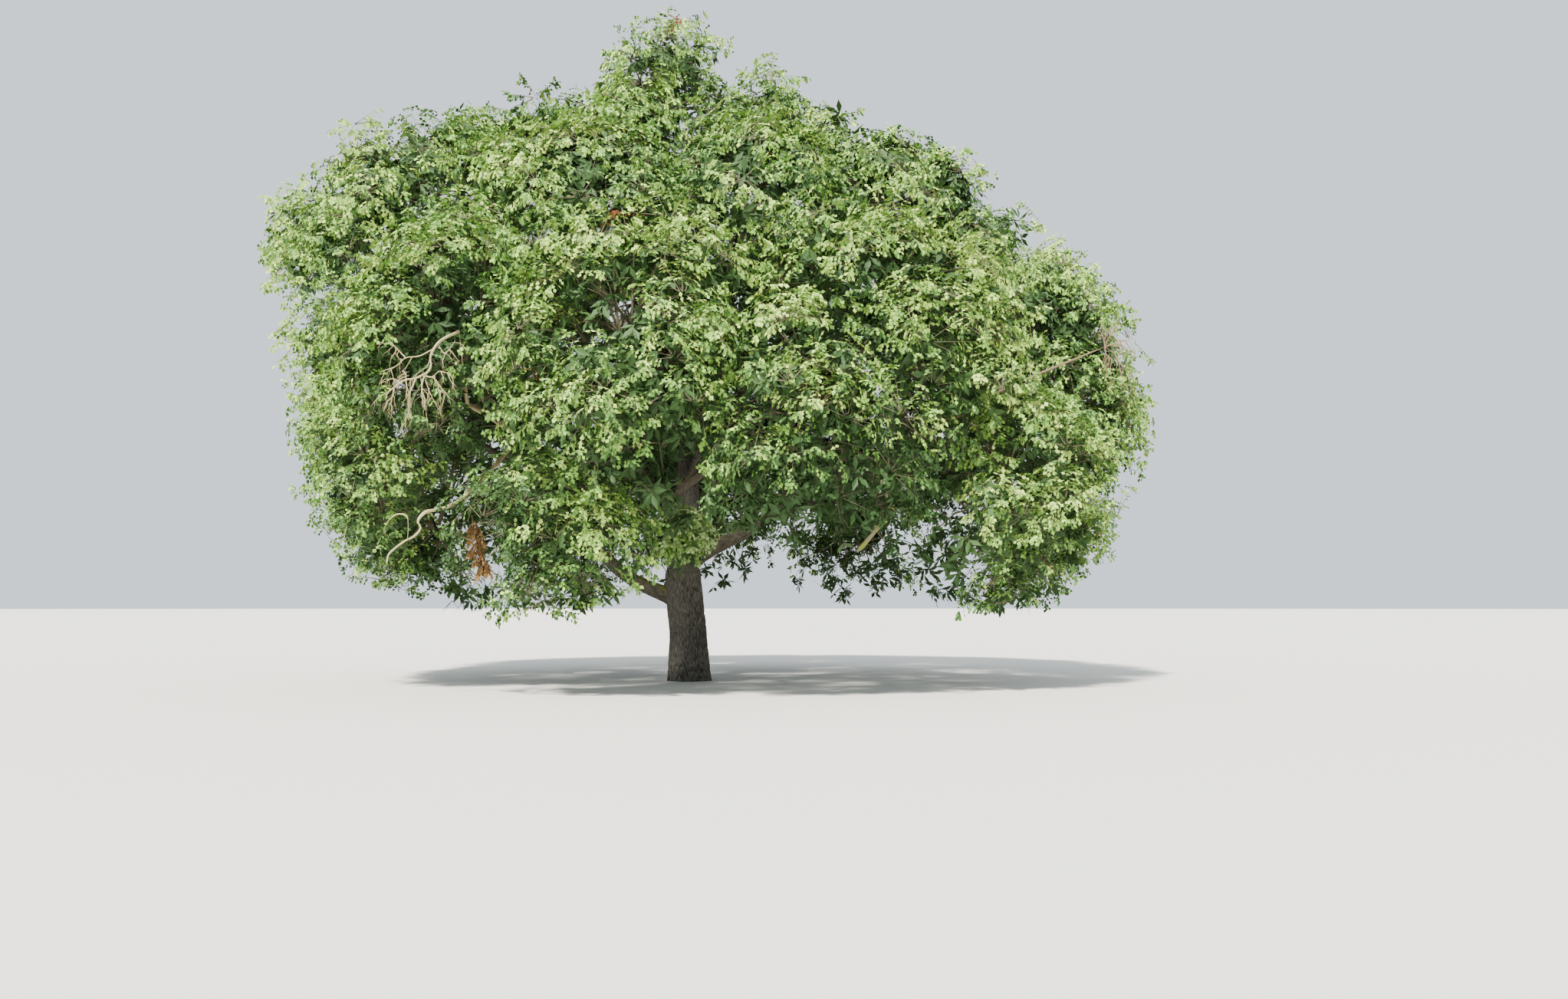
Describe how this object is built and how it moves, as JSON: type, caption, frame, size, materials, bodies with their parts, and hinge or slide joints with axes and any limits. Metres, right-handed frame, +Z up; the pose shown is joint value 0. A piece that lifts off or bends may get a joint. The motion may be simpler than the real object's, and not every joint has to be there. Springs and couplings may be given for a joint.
{
  "type": "oak tree",
  "caption": "Broad open-grown oak in full leaf: a short thick trunk forks low into spreading boughs under a dense rounded dome of drooping foliage.",
  "frame": {"origin": "middle of the flat cut under the trunk, at ground level", "axes": "+Z up along the trunk, +X the crown's longer side to the right seen from the front, -Y the front"},
  "size_m": [21.4169, 18.9973, 16.633],
  "materials": {
    "bark": "rough grey-brown fissured bark with lichen",
    "bough_bark": "rough darker brown bark with moss on the upper side",
    "foliage": "matt to slightly waxy green leaves",
    "dead_wood": "dry weathered tan wood",
    "dead_leaf": "dry orange-brown leaves"
  },
  "bodies": {
    "root": {"trunk": "bark", "bough_low_1": "bough_bark", "bough_low_2": "bough_bark", "bough_low_3": "bough_bark", "bough_low_4": "bough_bark", "bough_low_5": "bough_bark", "bough_low_6": "bough_bark", "bough_low_7": "bough_bark", "bough_low_8": "bough_bark", "bough_low_9": "bough_bark", "bough_high_1": "bough_bark", "bough_high_2": "bough_bark", "bough_high_3": "bough_bark", "bough_high_4": "bough_bark", "bough_high_5": "bough_bark", "bough_high_6": "bough_bark", "bough_high_7": "bough_bark", "bough_high_8": "bough_bark", "bough_top_1": "bough_bark", "bough_top_2": "bough_bark", "foliage_skirt_1": "foliage", "foliage_skirt_2": "foliage", "foliage_skirt_3": "foliage", "foliage_skirt_4": "foliage", "foliage_skirt_5": "foliage", "foliage_skirt_6": "foliage", "foliage_skirt_7": "foliage", "foliage_skirt_8": "foliage", "foliage_skirt_9": "foliage", "foliage_middle_1": "foliage", "foliage_middle_2": "foliage", "foliage_middle_3": "foliage", "foliage_middle_4": "foliage", "foliage_middle_5": "foliage", "foliage_middle_6": "foliage", "foliage_middle_7": "foliage", "foliage_middle_8": "foliage", "foliage_middle_9": "foliage", "foliage_shoulder_1": "foliage", "foliage_shoulder_2": "foliage", "foliage_shoulder_3": "foliage", "foliage_shoulder_4": "foliage", "foliage_shoulder_5": "foliage", "foliage_shoulder_6": "foliage", "foliage_shoulder_7": "foliage", "foliage_shoulder_8": "foliage", "foliage_upper_1": "foliage", "foliage_upper_2": "foliage", "foliage_upper_3": "foliage", "foliage_upper_4": "foliage", "foliage_upper_5": "foliage", "foliage_top_1": "foliage", "foliage_top_2": "foliage", "foliage_top_3": "foliage", "foliage_fork": "foliage", "dead_branch": "dead_wood", "bare_twigs": "dead_wood", "dead_leaf_spray": "dead_leaf"}
  },
  "joints": []
}
